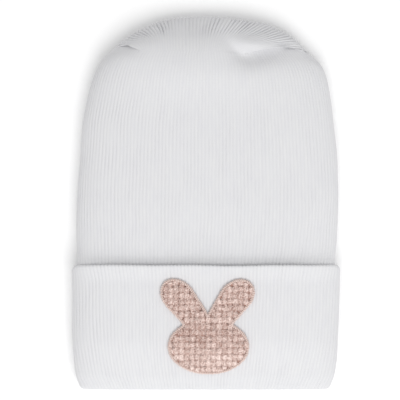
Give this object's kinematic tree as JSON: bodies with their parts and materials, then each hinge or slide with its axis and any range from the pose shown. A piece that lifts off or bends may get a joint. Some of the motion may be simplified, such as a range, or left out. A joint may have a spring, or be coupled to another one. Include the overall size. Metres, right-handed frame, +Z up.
{
  "type": "baby hat with a rabbit patch",
  "caption": "Fine rib-knit newborn hat lying flat on its back, front up, with a turned-up cuff and a woven rabbit's head with ears sewn on the cuff.",
  "frame": {"origin": "middle of the hat's outline as it lies, on the surface that it lies on", "axes": "+X to the wearer's left across the hat as seen from above, +Y from the rim to the top of the crown, +Z up out of the front"},
  "size_m": [0.134, 0.1864, 0.0276],
  "materials": {
    "white_knit": "matt cotton rib knit",
    "pink_weave": "coarse matt woven yarn",
    "pale_pink_yarn": "soft stitched yarn"
  },
  "bodies": {
    "root": {"crown": "white_knit", "cuff": "white_knit", "bunny_patch": "pink_weave", "patch_border": "pale_pink_yarn"}
  },
  "joints": []
}
